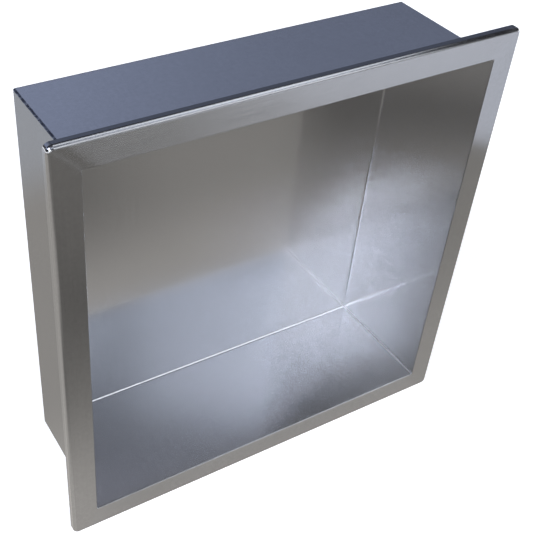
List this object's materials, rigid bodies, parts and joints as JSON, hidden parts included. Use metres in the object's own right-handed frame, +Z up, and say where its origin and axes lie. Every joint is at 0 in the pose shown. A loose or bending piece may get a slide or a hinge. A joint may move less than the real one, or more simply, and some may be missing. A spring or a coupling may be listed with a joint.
{
  "type": "recessed wall niche",
  "caption": "Square recessed shower niche: an open brushed-steel box with a flat front flange and a short folded return lip, set into a wall to hold bottles and soap.",
  "frame": {"origin": "centre of the opening, on the wall surface that the rear edge of the flange's lip meets", "axes": "+Z up, +Y into the wall, so the opening faces -Y, and +X to the right seen from the room"},
  "size_m": [0.305, 0.09, 0.305],
  "materials": {
    "brushed_stainless": "satin brushed stainless sheet, slightly duller on the outside of the box"
  },
  "bodies": {
    "root": {"wall_niche": "brushed_stainless"}
  },
  "joints": []
}
